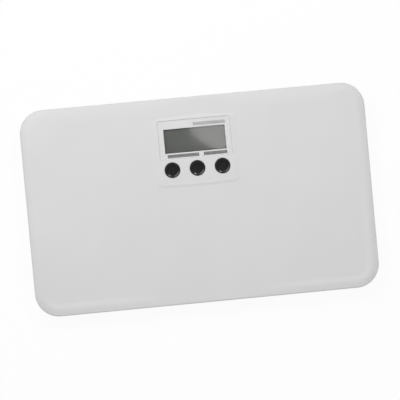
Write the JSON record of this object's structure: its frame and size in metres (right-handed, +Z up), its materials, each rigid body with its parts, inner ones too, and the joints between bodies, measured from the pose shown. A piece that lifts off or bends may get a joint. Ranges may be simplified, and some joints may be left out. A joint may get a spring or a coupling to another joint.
{
  "type": "electronic platform weighing scale",
  "caption": "Low rectangular electronic baby weighing platform with a soft tray rim, a slightly raised display panel, round press keys, load cell feet and an underside battery bay.",
  "frame": {"origin": "on the floor, under the middle of the platform", "axes": "+X along the platform's long side, +Y towards the edge that carries the display, +Z up"},
  "size_m": [0.55, 0.328, 0.0459],
  "materials": {
    "white_shell": "semi-gloss moulded white",
    "cover_panel": "clear panel with a white printed border",
    "display_glass": "grey liquid crystal display, switched off",
    "black_key": "satin black",
    "inner_plastic": "plain moulded",
    "foot_plastic": "fine texture",
    "grey_rubber": "matt",
    "steel": "bright plated",
    "circuit_board": "green solder mask",
    "chip_case": "moulded black",
    "battery_jacket": "plain printed jacket",
    "red_lead": "wire insulation",
    "black_lead": "wire insulation"
  },
  "bodies": {
    "root": {"top_cover": "white_shell", "base_cover": "white_shell", "lens_panel": "cover_panel", "lcd_glass": "display_glass", "lcd_holder": "inner_plastic", "zebra_strip": "grey_rubber", "main_board": "circuit_board", "controller_chip": "chip_case", "board_screw_1": "steel", "board_screw_2": "steel", "board_screw_3": "steel", "board_screw_4": "steel", "tact_switch_left": "chip_case", "tact_switch_middle": "chip_case", "tact_switch_right": "chip_case", "battery_cell_1": "battery_jacket", "battery_cell_2": "battery_jacket", "battery_cell_3": "battery_jacket", "battery_cell_4": "battery_jacket", "terminal_plus": "steel", "terminal_minus": "steel", "bridge_1": "steel", "bridge_2": "steel", "bridge_3": "steel", "power_lead_plus": "red_lead", "power_lead_minus": "black_lead", "load_cell_front_left": "steel", "load_cell_front_right": "steel", "load_cell_back_left": "steel", "load_cell_back_right": "steel", "cell_cap_front_left": "inner_plastic", "cell_cap_front_right": "inner_plastic", "cell_cap_back_left": "inner_plastic", "cell_cap_back_right": "inner_plastic", "cell_lead_front_left": "black_lead", "cell_lead_front_right": "black_lead", "cell_lead_back_left": "black_lead", "cell_lead_back_right": "black_lead", "case_screw_1": "steel", "case_screw_2": "steel", "case_screw_3": "steel", "case_screw_4": "steel", "case_screw_5": "steel", "case_screw_6": "steel"},
    "key_left": {"key_cap_left": "black_key", "switch_plunger_left": "inner_plastic"},
    "key_middle": {"key_cap_middle": "black_key", "switch_plunger_middle": "inner_plastic"},
    "key_right": {"key_cap_right": "black_key", "switch_plunger_right": "inner_plastic"},
    "door": {"battery_door": "white_shell"},
    "foot_front_left": {"foot_cup_front_left": "foot_plastic", "foot_pad_front_left": "grey_rubber"},
    "foot_front_right": {"foot_cup_front_right": "foot_plastic", "foot_pad_front_right": "grey_rubber"},
    "foot_back_left": {"foot_cup_back_left": "foot_plastic", "foot_pad_back_left": "grey_rubber"},
    "foot_back_right": {"foot_cup_back_right": "foot_plastic", "foot_pad_back_right": "grey_rubber"}
  },
  "joints": [
    {"name": "key_left_press", "type": "slide", "parent": "root", "child": "key_left", "axis": [0, 0, -1], "range_m": [0, 0.0008], "stiffness_N_per_m": 2500},
    {"name": "key_middle_press", "type": "slide", "parent": "root", "child": "key_middle", "axis": [0, 0, -1], "range_m": [0, 0.0008], "stiffness_N_per_m": 2500},
    {"name": "key_right_press", "type": "slide", "parent": "root", "child": "key_right", "axis": [0, 0, -1], "range_m": [0, 0.0008], "stiffness_N_per_m": 2500},
    {"name": "door_swing", "type": "hinge", "parent": "root", "child": "door", "pos_m": [0, -0.0779, 0.008], "axis": [-1, 0, 0], "range_deg": [0, 75]},
    {"name": "foot_front_left_play", "type": "slide", "parent": "root", "child": "foot_front_left", "axis": [0, 0, -1], "range_m": [0, 0.0006]},
    {"name": "foot_front_right_play", "type": "slide", "parent": "root", "child": "foot_front_right", "axis": [0, 0, -1], "range_m": [0, 0.0006]},
    {"name": "foot_back_left_play", "type": "slide", "parent": "root", "child": "foot_back_left", "axis": [0, 0, -1], "range_m": [0, 0.0006]},
    {"name": "foot_back_right_play", "type": "slide", "parent": "root", "child": "foot_back_right", "axis": [0, 0, -1], "range_m": [0, 0.0006]}
  ]
}
